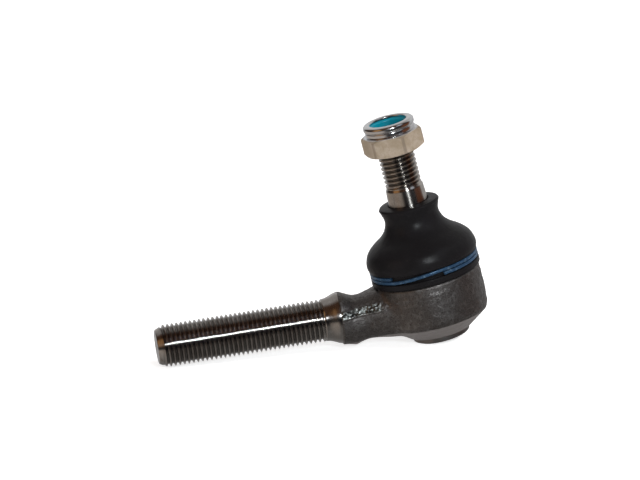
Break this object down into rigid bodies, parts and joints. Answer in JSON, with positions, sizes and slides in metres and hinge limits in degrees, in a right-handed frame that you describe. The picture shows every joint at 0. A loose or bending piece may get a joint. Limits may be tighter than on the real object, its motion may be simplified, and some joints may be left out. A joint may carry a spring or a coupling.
{
  "type": "tie rod end",
  "caption": "Outer tie rod end: forged ball socket with a male-threaded shank, rubber boot, tapered ball stud and self-locking nut.",
  "frame": {"origin": "the ball's centre, about which the stud swings and turns", "axes": "+Z along the ball stud towards its nut, -X towards the threaded shank, whose axis lies in the XZ plane and rises 6.6 degrees towards +Z"},
  "size_m": [0.1107, 0.0368, 0.0756],
  "materials": {
    "forged_steel": "dark oiled forging, machined thread",
    "cap_steel": "pressed, dull",
    "boot_rubber": "satin moulded rubber",
    "blue_ring": "blue coated spring steel",
    "spring_steel": "oiled",
    "stud_steel": "ground and rolled",
    "plated_nut": "zinc plated",
    "nylon": "blue-green nylon",
    "seat_plastic": "natural POM"
  },
  "bodies": {
    "socket": {"housing": "forged_steel", "closing_cap": "cap_steel", "upper_ball_seat": "seat_plastic", "lower_ball_seat": "seat_plastic", "preload_spring": "spring_steel", "boot_clamp_ring": "blue_ring"},
    "boot": {"dust_boot": "boot_rubber"},
    "boot_neck": {"boot_neck_ring": "spring_steel"},
    "stud": {"ball_stud": "stud_steel"},
    "nut_lift": {"nylon_insert": "nylon"},
    "nut": {"lock_nut": "plated_nut"}
  },
  "joints": [
    {"name": "boot_turn", "type": "hinge", "parent": "socket", "child": "boot", "pos_m": [0, 0, 0], "axis": [0, 0, 1], "continuous": true},
    {"name": "stud_tilt", "type": "hinge", "parent": "boot", "child": "boot_neck", "pos_m": [0, 0, 0], "axis": [0, 1, 0], "range_deg": [-25, 25], "deforming": ["dust_boot"]},
    {"name": "stud_spin", "type": "hinge", "parent": "boot_neck", "child": "stud", "pos_m": [0, 0, 0], "axis": [0, 0, 1], "continuous": true},
    {"name": "nut_travel", "type": "slide", "parent": "stud", "child": "nut_lift", "axis": [0, 0, 1], "range_m": [-0.0105, 0.006], "deforming": ["nylon_insert"]},
    {"name": "nut_spin", "type": "hinge", "parent": "nut_lift", "child": "nut", "pos_m": [0, 0, 0.0582], "axis": [0, 0, 1], "range_deg": [-2520, 1440]}
  ],
  "couplings": [
    {"joint": "nut_travel", "follows": "nut_spin", "m_per_rad": 0.00023873}
  ]
}
